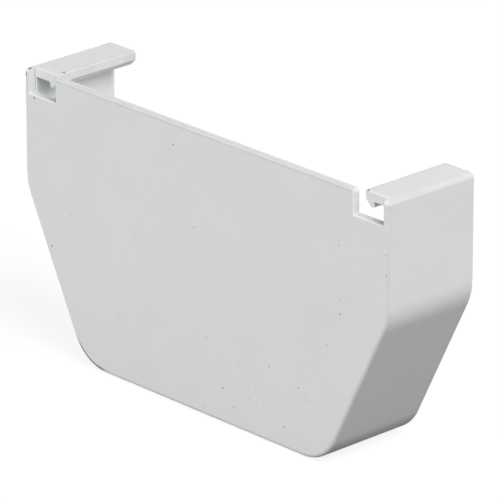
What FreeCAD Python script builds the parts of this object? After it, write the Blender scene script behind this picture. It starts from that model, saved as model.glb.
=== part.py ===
import FreeCAD, Part
import math
import os

# A gutter end cap, moulded as one piece of white vinyl, in millimetres.
# The end plate faces -Y, the open end that takes the gutter faces +Y, and +Z is up.
# The origin is under the middle of the cap, on the flat bottom that it stands on.

# Overall size, outside
WIDTH = 133.0
HEIGHT = 75.8
DEPTH = 29.5

# Outline of the walls, outside
UPPER_WALL = 31.6        # from the top down to the bend in the side walls
BASE_WIDTH = 89.3        # where the slanted walls and the bottom would meet in sharp corners
BEND_RADIUS = 15.0       # upright wall to slanted wall
BASE_RADIUS = 12.9       # slanted wall to bottom

# Thicknesses
WALL = 2.35              # side walls and bottom
PLATE = 2.3              # end plate
LIP = 2.7                # lips that turn inwards along the top of the side walls

# Hook under each lip
LIP_WIDTH = 10.3         # from the outside of the side wall to the inner edge of the lip
HOOK_WIDTH = 3.0         # across the hook, from the inner edge of the lip
HOOK_DROP = 4.1          # from the top of the lip to the tip of the hook
HOOK_CHAMFER = 1.7       # slope on the hook's inner corner, over which the gutter's edge snaps in

# Notch through each top corner of the end plate, open at the top
PILLAR = 1.6             # width of the plate that is left outside the notch
NOTCH_SIDE_GAP = 1.8     # from the lip to the tab, the part of the plate between the notches
NOTCH_UNDER_GAP = 2.4    # from the tip of the hook to the floor of the notch

# Edges and inside corners
FRONT_RADIUS = 1.15      # outside edge of the end plate
TOP_RADIUS = 1.2         # outside edge of the lips, along the cap
LIP_RADIUS = 0.5         # inner edge of the lips, along the cap
TAB_RADIUS = 1.0         # top corners of the tab
ROOT_RADIUS = 1.0        # inside corner between the end plate and the walls
EDGE_RADIUS = 0.4        # smaller edges
LEAD_IN_LENGTH = 1.5     # slope inside the open end: along the cap
LEAD_IN_DEPTH = 0.6      # and into the wall
LEAST_FLAT = 0.2         # flat that the roundings leave on the top of a pillar and the back of a hook

TINY = 1e-4              # places nearer than this are the same place

# Places across the cap, from the middle outwards
half_width = WIDTH / 2
half_base = BASE_WIDTH / 2
pillar_edge = half_width - PILLAR
lip_edge = half_width - LIP_WIDTH
hook_back = lip_edge + HOOK_WIDTH
tab_edge = lip_edge - NOTCH_SIDE_GAP

# Heights
bend_height = HEIGHT - UPPER_WALL
lip_underside = HEIGHT - LIP
hook_tip = HEIGHT - HOOK_DROP
notch_floor = hook_tip - NOTCH_UNDER_GAP

# Places along the cap
front = -DEPTH / 2
plate_back = front + PLATE
back = DEPTH / 2

# Lean of the slanted walls from upright
slant = math.atan2(half_width - half_base, bend_height)

# Roundings that the pillars and the back of the hook have room for
top_radius = min(TOP_RADIUS, PILLAR - LEAST_FLAT)
front_radius = min(FRONT_RADIUS, top_radius)
edge_radius = min(EDGE_RADIUS, (lip_underside - hook_tip - LEAST_FLAT) / 2)


def outline(right_half, y):
    """Face across the cap at y, with rounded corners (x, z, radius) that are mirrored to the left."""
    corners = right_half + [(-x, z, radius) for x, z, radius in reversed(right_half)]
    places = [FreeCAD.Vector(x, y, z) for x, z, radius in corners]
    arcs = []
    for i, (x, z, radius) in enumerate(corners):
        toward = (places[i] - places[i - 1]).normalize()
        away = (places[(i + 1) % len(places)] - places[i]).normalize()
        half_turn = toward.getAngle(away) / 2
        setback = radius * math.tan(half_turn)
        rise = radius / math.cos(half_turn) - radius
        start = places[i] - toward * setback
        middle = places[i] + (away - toward).normalize() * rise
        end = places[i] + away * setback
        arcs.append((start, middle, end))
    edges = []
    for i, (start, middle, end) in enumerate(arcs):
        edges.append(Part.LineSegment(arcs[i - 1][2], start).toShape())
        if start.distanceToPoint(end) > TINY:
            edges.append(Part.Arc(start, middle, end).toShape())
    return Part.Face(Part.Wire(edges))


def wall_outside():
    return [
        (half_base, 0, BASE_RADIUS),
        (half_width, bend_height, BEND_RADIUS),
        (half_width, HEIGHT, top_radius),
    ]


def wall_inside(thickness):
    """Corners of the inside of the walls, from the lip down, for walls of this thickness."""
    bend_shift = thickness * math.tan(slant / 2)
    base_shift = thickness * math.tan((math.pi / 2 - slant) / 2)
    return [
        (half_width - thickness, lip_underside, 0),
        (half_width - thickness, bend_height + bend_shift, BEND_RADIUS - thickness),
        (half_base - base_shift, thickness, BASE_RADIUS - thickness),
    ]


def hooked_lip():
    return [
        (lip_edge, HEIGHT, LIP_RADIUS),
        (lip_edge, hook_tip + HOOK_CHAMFER, edge_radius),
        (lip_edge + HOOK_CHAMFER, hook_tip, edge_radius),
        (hook_back, hook_tip, edge_radius),
        (hook_back, lip_underside, edge_radius),
    ]


def notch():
    return [
        (pillar_edge, HEIGHT, 0),
        (pillar_edge, notch_floor, 0),
        (tab_edge, notch_floor, 0),
        (tab_edge, HEIGHT, TAB_RADIUS),
    ]


def along(length):
    return FreeCAD.Vector(0, length, 0)


def rim():
    """Walls, bottom and hooked lips: one section, run from the end plate to the open end."""
    section = outline(wall_outside() + hooked_lip() + wall_inside(WALL), plate_back)
    return section.extrude(along(back - plate_back))


def end_plate():
    return outline(wall_outside() + notch(), front).extrude(along(PLATE))


def lead_in():
    """The wedge that slopes the inside of the walls at the open end, up to the lips."""
    narrow = outline(wall_inside(WALL), back - LEAD_IN_LENGTH)
    wide = outline(wall_inside(WALL - LEAD_IN_DEPTH), back)
    funnel = Part.makeLoft([narrow.OuterWire, wide.OuterWire], True, True)
    return funnel.cut(narrow.extrude(along(LEAD_IN_LENGTH)))


def round_from(shape, places, radius):
    """Round the edges through these places, and all the edges that run on from them smoothly."""
    spots = [Part.Vertex(*place) for place in places]
    edges = [edge for edge in shape.Edges if any(edge.distToShape(spot)[0] < TINY for spot in spots)]
    return shape.makeFillet(radius, edges)


# A place on each edge that is rounded, and the radius
roundings = [
    # inside corner between the plate and the walls
    ([(0, plate_back, WALL)], ROOT_RADIUS),
    # outside edge of the end plate
    ([(0, front, 0)], front_radius),
    # front edge of the tab, and of the floor of each notch
    ([(0, front, HEIGHT), (lip_edge, front, notch_floor), (-lip_edge, front, notch_floor)], edge_radius),
    # back edge of the tab
    ([(0, plate_back, HEIGHT)], edge_radius),
    # plate end of each lip
    ([(hook_back, plate_back, HEIGHT)], edge_radius),
    ([(-hook_back, plate_back, HEIGHT)], edge_radius),
    # open end, round the outside and the hooks
    ([(hook_back, back, HEIGHT)], edge_radius),
]

cap = end_plate().fuse(rim()).removeSplitter().cut(lead_in())
for places, radius in roundings:
    cap = round_from(cap, places, radius)

os.makedirs("parts", exist_ok=True)
cap.Solids[0].exportStep("parts/end_cap.step")
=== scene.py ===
import math
import bpy
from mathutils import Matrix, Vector


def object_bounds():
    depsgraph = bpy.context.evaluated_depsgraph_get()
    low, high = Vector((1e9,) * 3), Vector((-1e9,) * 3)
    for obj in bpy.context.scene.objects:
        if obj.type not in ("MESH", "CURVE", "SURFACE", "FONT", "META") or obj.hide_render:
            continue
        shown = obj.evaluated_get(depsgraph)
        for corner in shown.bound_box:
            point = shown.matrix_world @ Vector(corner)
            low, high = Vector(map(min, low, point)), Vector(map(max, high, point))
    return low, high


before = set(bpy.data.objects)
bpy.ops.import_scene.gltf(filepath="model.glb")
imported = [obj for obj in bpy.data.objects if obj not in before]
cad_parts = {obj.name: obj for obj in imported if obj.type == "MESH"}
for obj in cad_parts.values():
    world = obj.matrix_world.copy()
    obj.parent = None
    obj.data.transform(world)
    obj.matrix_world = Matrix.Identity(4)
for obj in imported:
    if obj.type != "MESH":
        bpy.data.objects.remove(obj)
cad_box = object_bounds()
low, high = cad_box

# A gutter end cap of white vinyl, standing on a pale floor.
# Lengths are in metres, or in millimetres where a name ends in _MM, and angles are in degrees.
MM = 0.001               # one millimetre, in metres

# Camera: where it looks, from which side and how far away
AIM = Vector((0.00043, 0.00179, 0.04023))
AZIMUTH = 46.73
ELEVATION = 21.46
CAMERA_DISTANCE = 1.4194
LENS_MM = 405.3          # on Blender's sensor of 36 mm
CLIP = (0.1, 20.0)       # nearest and farthest that it sees

# Light: each lamp has a direction (azimuth and elevation, as for the camera), a width and a strength.
# A strength of 1 lights a white face turned to the lamp as white.
LAMP_DISTANCE = 2.4
LAMPS = {
    "key": {"from": (83.0, 44.0), "width": 2.1, "strength": 1.08},
    "fill": {"from": (-12.0, 7.0), "width": 1.2, "strength": 0.81},
    "back_right": {"from": (135.0, 10.0), "width": 1.2, "strength": 0.17},
    "back": {"from": (190.0, 7.0), "width": 1.2, "strength": 0.60},
    "left": {"from": (270.0, 7.0), "width": 1.2, "strength": 0.40},
}

# Floor
FLOOR_SIZE = 8.0
FLOOR_DROP = 0.0001      # below the cap's bottom, so that the two faces don't coincide
FLOOR_GLOW = 0.85        # share of the floor's white that is seen without any light
FLOOR_WHITE = 0.20       # colour that is seen in the light, on top of that
FLOOR_BOUNCE = 0.02      # colour that lights the cap from below

# Noises: how many changes to the metre, and how many finer layers each has
NOISES = {
    "clouds": (60.0, 4.0),     # broad, faint changes of colour and gloss
    "grain": (900.0, 2.0),     # fine changes of colour
    "texture": (2500.0, 3.0),  # moulded texture
    "waves": (25.0, 1.0),      # slight waviness of the moulding
    "ragged": (3000.0, 2.0),   # edges of the dirt and of the painted corner shade
    "grime": (330.0, 5.0),     # breaks in the lines of dirt
    "painted_edge_shade": (120.0, 2.0),      # changes of the painted edge shade along the edges
}
NOISE_RANGE = (0.3, 0.7)       # in which most of a noise lies
NOISE_MIDDLE = (0.5, 0.5, 0.5)

# Vinyl
VINYL_PALE = (0.821, 0.831, 0.836, 1.0)
VINYL_DULL = (0.791, 0.800, 0.806, 1.0)
GRAIN_SHARE = 0.35       # how much of the change of colour is fine
VINYL_IOR = 1.53
VINYL_SPECULAR = 0.2
ROUGHNESS = (0.52, 0.66)  # least and most, without dirt
TEXTURE_HEIGHT = 0.00002
WAVES_HEIGHT = 0.00012

# Dirt and painted shade: their colour, and how much of the vinyl each kind covers where it is full
DIRT_AND_SHADE_COLOUR = (0.10, 0.095, 0.085, 1.0)
# strength of the specks, and of the painted shade round the lower left corner
SPECK_AND_CORNER_SHADE_STRENGTH = 0.75
SMUDGE_STRENGTH = 0.03
GRIME_STRENGTH = 0.5
# how much darker the vinyl is at the bottom
BOTTOM_DARKENING_STRENGTH = 0.035
# painted shade along the edges, which tones down their highlight
PAINTED_EDGE_SHADE_STRENGTH = 0.16
DIRT_AND_SHADE_ROUGHNESS = 0.3     # added to the roughness where dirt and painted shade cover all
EDGE_FADE = 0.4          # share of a mark's radius, to each side, over which its edge fades
RAGGED = 0.00025         # width of the band where edges of dirt and painted corner shade wander
BOTTOM_DARKENING_HEIGHT = 0.025      # up to which the darkening reaches from the bottom

# Painted shade that tones down the highlight on the lips, the front corners and the top of the plate
EDGE_SHADE_RADIUS = 0.0008
EDGE_SHADE_LEAST = 0.5         # share of the painted edge shade that is left where it is least
LIP_WIDTH = 0.0103       # from the outside of the cap to the inner edge of a lip
LIP_FACE = 0.0024        # height of the upright face at the inner edge of a lip
NOTCH_GAP = 0.0018       # from a lip to the part of the plate between the notches
BEND_HEIGHT = 0.0442     # below which the side walls slant inwards

# Specks and smudges on the front of the plate: across, height, radius
PLATE_SPECKS_MM = (
    (-62.5, 68.5, 0.30), (-10.0, 70.0, 0.22), (-49.0, 40.5, 0.15), (-56.5, 29.5, 0.25), (-2.5, 50.0, 0.16),
    (49.5, 60.0, 0.16), (50.0, 46.0, 0.17), (50.0, 42.0, 0.24), (45.5, 32.5, 0.17), (2.0, 21.5, 0.19),
    (25.0, 20.5, 0.18), (8.0, 9.5, 0.26), (20.0, 13.5, 0.15), (35.5, 18.0, 0.18), (18.0, 9.5, 0.15),
    (12.0, 5.5, 0.21), (20.5, 8.0, 0.15), (1.0, 2.0, 0.16), (30.5, 6.0, 0.24),
)
PLATE_SMUDGES_MM = (
    (-25.0, 42.5, 1.6), (-11.0, 67.5, 1.4), (14.0, 18.0, 1.5), (-30.0, 18.0, 2.5), (38.0, 16.0, 1.8),
)
# Specks on the lips and at the front corners: place and radius
EDGE_SPECKS_MM = (
    (-65.1, -14.0, 75.7, 0.40), (-65.1, -13.4, 75.8, 0.30), (-65.6, -14.7, 74.5, 0.32),
    (-65.6, -14.7, 74.0, 0.30), (-56.6, -9.8, 75.8, 0.42), (57.1, -12.2, 75.8, 0.36),
    (65.8, -14.65, 61.9, 0.15), (65.8, -14.65, 56.7, 0.16),
)

# Broken lines of dirt along edges, from one place to another
GRIME_LINES_MM = {
    "left_lip_outside": ((-65.6, 8.5, 75.7), (-65.6, 14.5, 75.7)),
    "right_lip_inside": ((56.5, -12.3, 75.7), (56.5, -4.0, 75.7)),
    "right_lip_back": ((57.5, 14.5, 75.7), (65.0, 14.5, 75.7)),
}
GRIME_RADIUS = 0.0003
GRIME_RANGE = (0.42, 0.56)  # noise from which the lines show, and from which they show in full

# Painted shade along a line round the lower left corner of the plate
CORNER_CENTRE = (-0.0366, 0.0, 0.0129)  # of the corner's round, seen from the front
CORNER_RADIUS = 0.0122   # from there to the line
CORNER_INSET = 0.0001    # from the front of the plate to the line
CORNER_WIDTH = 0.0005    # of the line, to each side
CORNER_MIDDLE = (-0.0425, -0.0145, 0.0019)
CORNER_REACH = 0.006     # of the line, from its middle

# Specks at random places behind the front of the plate
DUST_PER_METRE = 80.0
DUST_RADIUS = 0.00022
DUST_SHARE = 0.22        # share of those places that have a speck
DUST_MARGIN = 0.0015     # from the front of the plate

# Places of the Mix node's sockets for colours, since its sockets share their names
MIX_SHARE = 0
MIX_FIRST = 6
MIX_SECOND = 7
MIX_RESULT = 2


class Tree:
    """The nodes of one material or world, with a short call for each kind that is used here."""

    def __init__(self, owner):
        owner.use_nodes = True
        self.nodes = owner.node_tree.nodes
        self.links = owner.node_tree.links
        self.nodes.clear()

    def set(self, socket, value):
        """Link a socket to another node's output, or give it a value of its own."""
        if isinstance(value, bpy.types.NodeSocket):
            self.links.new(value, socket)
        else:
            socket.default_value = value

    def add(self, kind, **inputs):
        """A new node. Its inputs go by their sockets' names, with _ for a space."""
        node = self.nodes.new("ShaderNode" + kind)
        for name, value in inputs.items():
            self.set(node.inputs[name.replace("_", " ")], value)
        return node

    def math(self, operation, first, second=0.0):
        node = self.add("Math")
        node.operation = operation
        self.set(node.inputs[0], first)
        self.set(node.inputs[1], second)
        return node.outputs["Value"]

    def vector(self, operation, first, second):
        node = self.add("VectorMath")
        node.operation = operation
        self.set(node.inputs[0], first)
        self.set(node.inputs[1], second)
        return node.outputs["Value" if operation == "DISTANCE" else "Vector"]

    def noise(self, place, name, output="Fac"):
        """One of the noises listed above, as a number or, from its output Color, as three."""
        per_metre, layers = NOISES[name]
        return self.add("TexNoise", Vector=place, Scale=per_metre, Detail=layers).outputs[output]

    def step(self, value, start, end, first, last):
        """From first to last, smoothly, as the value goes from start to end."""
        node = self.add("MapRange", Value=value, From_Min=start, From_Max=end, To_Min=first, To_Max=last)
        node.interpolation_type = "SMOOTHSTEP"
        return node.outputs["Result"]

    def mix(self, share, first, second):
        """A colour between two others."""
        node = self.add("Mix")
        node.data_type = "RGBA"
        self.set(node.inputs[MIX_SHARE], share)
        self.set(node.inputs[MIX_FIRST], first)
        self.set(node.inputs[MIX_SECOND], second)
        return node.outputs[MIX_RESULT]

    def largest(self, values):
        """The largest of several values at each place."""
        result = values[0]
        for value in values[1:]:
            result = self.math("MAXIMUM", result, value)
        return result

    def is_seen(self):
        """1 for what the camera sees, directly, in a reflection or through glass, and 0 for other light."""
        path = self.add("LightPath").outputs
        return self.largest([path["Is Camera Ray"], path["Is Glossy Ray"], path["Is Transmission Ray"]])


def direction(azimuth, elevation):
    """Unit vector from the cap towards that side: azimuth 0 is -Y and 90 is +X."""
    turn = math.radians(azimuth)
    rise = math.radians(elevation)
    return Vector((math.sin(turn) * math.cos(rise), -math.cos(turn) * math.cos(rise), math.sin(rise)))


def near(tree, away, radius):
    """1 inside the radius, falling smoothly to 0 outside it."""
    return tree.step(away, radius * (1.0 - EDGE_FADE), radius * (1.0 + EDGE_FADE), 1.0, 0.0)


def beside(tree, place, start, end, radius):
    """1 near the line, or the face, that lies along the axes from start to end, and 0 elsewhere."""
    after_start = tree.vector("MAXIMUM", place, start)
    nearest = tree.vector("MINIMUM", after_start, end)
    return near(tree, tree.vector("DISTANCE", place, nearest), radius)


def on_plate(marks):
    """Centres and radii, in metres, of marks on the front of the plate."""
    return [((x * MM, low.y, z * MM), radius * MM) for x, z, radius in marks]


def on_edges(marks):
    """Centres and radii, in metres, of marks that have places of their own."""
    return [((x * MM, y * MM, z * MM), radius * MM) for x, y, z, radius in marks]


def spots(tree, place, marks):
    """1 inside any of the marks, and 0 elsewhere."""
    return tree.largest([
        near(tree, tree.vector("DISTANCE", place, centre), radius)
        for centre, radius in marks
    ])


def dust(tree, place):
    """Specks at random places, apart from the front of the plate."""
    cells = tree.add("TexVoronoi", Vector=place, Scale=DUST_PER_METRE)
    # distances in this texture are counted in cells
    specks = near(tree, cells.outputs["Distance"], DUST_RADIUS * DUST_PER_METRE)
    pick = tree.add("SeparateColor", Color=cells.outputs["Color"]).outputs["Red"]
    chosen = tree.math("LESS_THAN", pick, DUST_SHARE)
    y = tree.add("SeparateXYZ", Vector=place).outputs["Y"]
    behind = tree.math("GREATER_THAN", y, low.y + DUST_MARGIN)
    return tree.math("MULTIPLY", tree.math("MULTIPLY", specks, chosen), behind)


def grime(tree, place):
    """Broken lines of dirt along some of the edges."""
    lines = [
        beside(tree, place, Vector(start) * MM, Vector(end) * MM, GRIME_RADIUS)
        for start, end in GRIME_LINES_MM.values()
    ]
    broken = tree.step(tree.noise(place, "grime"), *GRIME_RANGE, 0.0, 1.0)
    return tree.math("MULTIPLY", tree.largest(lines), broken)


def painted_corner_shade(tree, place):
    """Painted shade along a line round the plate's lower left corner, fading towards its ends."""
    split = tree.add("SeparateXYZ", Vector=place).outputs
    seen_from_front = tree.add("CombineXYZ", X=split["X"], Z=split["Z"]).outputs["Vector"]
    outward = tree.vector("DISTANCE", seen_from_front, CORNER_CENTRE)
    section = tree.add("CombineXYZ", X=outward, Y=split["Y"]).outputs["Vector"]
    away = tree.vector("DISTANCE", section, (CORNER_RADIUS, low.y + CORNER_INSET, 0.0))
    from_middle = tree.vector("DISTANCE", place, CORNER_MIDDLE)
    return tree.math("MULTIPLY", near(tree, away, CORNER_WIDTH), near(tree, from_middle, CORNER_REACH))


def painted_edge_shade(tree, place):
    """Painted shade dimming the edges' highlight on both sides, more in some places than in others."""
    split = tree.add("SeparateXYZ", Vector=place).outputs
    across = tree.math("ABSOLUTE", split["X"])
    mirrored = tree.add("CombineXYZ", X=across, Y=split["Y"], Z=split["Z"]).outputs["Vector"]
    lip_edge = high.x - LIP_WIDTH
    edges = {
        "lip_outside": ((high.x, low.y, high.z), high),
        "lip_inside": ((lip_edge, low.y, high.z - LIP_FACE), (lip_edge, high.y, high.z)),
        "front_corner": ((high.x, low.y, BEND_HEIGHT), (high.x, low.y, high.z)),
        "plate_top": ((0.0, low.y, high.z), (lip_edge - NOTCH_GAP, low.y, high.z)),
    }
    shaded_edges = tree.largest([beside(tree, mirrored, start, end, EDGE_SHADE_RADIUS) for start, end in edges.values()])
    uneven = tree.step(tree.noise(place, "painted_edge_shade"), *NOISE_RANGE, EDGE_SHADE_LEAST, 1.0)
    return tree.math("MULTIPLY", shaded_edges, uneven)


def darker_towards_bottom(tree, place):
    """Faintly darker towards the bottom, fading out upwards."""
    z = tree.add("SeparateXYZ", Vector=place).outputs["Z"]
    return tree.step(z, low.z, low.z + BOTTOM_DARKENING_HEIGHT, 1.0, 0.0)


def dirt_and_painted_shade(tree, place):
    """How much the dirt, painted shade and bottom darkening cover, with ragged edges, from 0 to 1."""
    wander = tree.vector("SUBTRACT", tree.noise(place, "ragged", "Color"), NOISE_MIDDLE)
    ragged = tree.vector("ADD", place, tree.vector("MULTIPLY", wander, (RAGGED, RAGGED, RAGGED)))
    marks = spots(tree, ragged, on_plate(PLATE_SPECKS_MM) + on_edges(EDGE_SPECKS_MM))
    # the specks, with the painted shade round the lower left corner
    specks = tree.largest([marks, dust(tree, ragged), painted_corner_shade(tree, ragged)])
    smudges = spots(tree, ragged, on_plate(PLATE_SMUDGES_MM))
    return tree.largest([
        tree.math("MULTIPLY", specks, SPECK_AND_CORNER_SHADE_STRENGTH),
        tree.math("MULTIPLY", smudges, SMUDGE_STRENGTH),
        # darker towards the bottom
        tree.math("MULTIPLY", darker_towards_bottom(tree, place), BOTTOM_DARKENING_STRENGTH),
        # painted shade along the edges
        tree.math("MULTIPLY", painted_edge_shade(tree, place), PAINTED_EDGE_SHADE_STRENGTH),
        tree.math("MULTIPLY", grime(tree, ragged), GRIME_STRENGTH),
    ])


def clean_colour(tree, place, clouds):
    """The vinyl's own colour, with faint clouds and grain."""
    broad = tree.math("MULTIPLY", clouds, 1.0 - GRAIN_SHARE)
    fine = tree.math("MULTIPLY", tree.noise(place, "grain"), GRAIN_SHARE)
    paleness = tree.step(tree.math("ADD", broad, fine), *NOISE_RANGE, 0.0, 1.0)
    return tree.mix(paleness, VINYL_DULL, VINYL_PALE)


def moulded_surface(tree, place):
    """A fine texture on a slight waviness."""
    waves = tree.add("Bump", Distance=WAVES_HEIGHT, Height=tree.noise(place, "waves"))
    texture = tree.add("Bump", Distance=TEXTURE_HEIGHT, Height=tree.noise(place, "texture"),
                       Normal=waves.outputs["Normal"])
    return texture.outputs["Normal"]


def vinyl_material():
    material = bpy.data.materials.new("white_vinyl")
    tree = Tree(material)
    place = tree.add("TexCoord").outputs["Object"]
    clouds = tree.noise(place, "clouds")
    # dirt, painted shade on the edges and the lower left corner, and darker towards the bottom
    dirt_and_shade = dirt_and_painted_shade(tree, place)
    colour = tree.mix(dirt_and_shade, clean_colour(tree, place, clouds), DIRT_AND_SHADE_COLOUR)
    clean_roughness = tree.step(clouds, *NOISE_RANGE, *ROUGHNESS)
    roughness = tree.math("ADD", clean_roughness, tree.math("MULTIPLY", dirt_and_shade, DIRT_AND_SHADE_ROUGHNESS))
    shader = tree.add("BsdfPrincipled", Base_Color=colour, Roughness=roughness, IOR=VINYL_IOR,
                      Specular_IOR_Level=VINYL_SPECULAR, Normal=moulded_surface(tree, place))
    tree.add("OutputMaterial", Surface=shader.outputs["BSDF"])
    return material


def floor_material():
    """White with a soft shadow where it is seen, and dark in the light that it sends back to the cap."""
    material = bpy.data.materials.new("floor")
    tree = Tree(material)
    glow = tree.add("Emission", Strength=FLOOR_GLOW)
    lit = tree.add("BsdfDiffuse", Color=(FLOOR_WHITE, FLOOR_WHITE, FLOOR_WHITE, 1.0))
    bounce = tree.add("BsdfDiffuse", Color=(FLOOR_BOUNCE, FLOOR_BOUNCE, FLOOR_BOUNCE, 1.0))
    # the two shader inputs of these nodes share one name
    seen = tree.add("AddShader")
    tree.set(seen.inputs[0], glow.outputs["Emission"])
    tree.set(seen.inputs[1], lit.outputs["BSDF"])
    choice = tree.add("MixShader", Fac=tree.is_seen())
    tree.set(choice.inputs[1], bounce.outputs["BSDF"])
    tree.set(choice.inputs[2], seen.outputs["Shader"])
    tree.add("OutputMaterial", Surface=choice.outputs["Shader"])
    return material


def add_floor():
    mesh = bpy.data.meshes.new("floor")
    half = FLOOR_SIZE / 2
    z = low.z - FLOOR_DROP
    corners = [(-half, -half, z), (half, -half, z), (half, half, z), (-half, half, z)]
    mesh.from_pydata(corners, [], [(0, 1, 2, 3)])
    mesh.materials.append(floor_material())
    floor = bpy.data.objects.new("floor", mesh)
    bpy.context.scene.collection.objects.link(floor)


def add_lamp(name, side, width, strength):
    lamp = bpy.data.lights.new(name, "AREA")
    lamp.shape = "DISK"
    lamp.size = width
    # a disk of radiance L and area A lights a face at distance d with L*A/d^2, and power is pi*L*A
    lamp.energy = strength * math.pi * math.pi * LAMP_DISTANCE ** 2
    placed = bpy.data.objects.new(name, lamp)
    toward = direction(*side)
    placed.location = (low + high) / 2 + toward * LAMP_DISTANCE
    placed.rotation_euler = (-toward).to_track_quat("-Z", "Y").to_euler()
    placed.visible_camera = False
    bpy.context.scene.collection.objects.link(placed)


def add_world():
    """White where it is seen, also in reflections, and dark otherwise, so that it doesn't light the cap."""
    world = bpy.data.worlds.new("studio")
    tree = Tree(world)
    white = tree.add("Background", Color=(1.0, 1.0, 1.0, 1.0), Strength=tree.is_seen())
    tree.add("OutputWorld", Surface=white.outputs["Background"])
    bpy.context.scene.world = world


def add_camera():
    camera = bpy.data.cameras.new("camera")
    camera.lens = LENS_MM
    camera.clip_start, camera.clip_end = CLIP
    placed = bpy.data.objects.new("camera", camera)
    toward = direction(AZIMUTH, ELEVATION)
    placed.location = AIM + toward * CAMERA_DISTANCE
    placed.rotation_euler = (-toward).to_track_quat("-Z", "Y").to_euler()
    bpy.context.scene.collection.objects.link(placed)
    bpy.context.scene.camera = placed


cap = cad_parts["end_cap"]
cap.material_slots[0].material = vinyl_material()
add_floor()
add_world()
for name, lamp in LAMPS.items():
    add_lamp(name, lamp["from"], lamp["width"], lamp["strength"])
add_camera()
bpy.context.scene.view_settings.view_transform = "Standard"
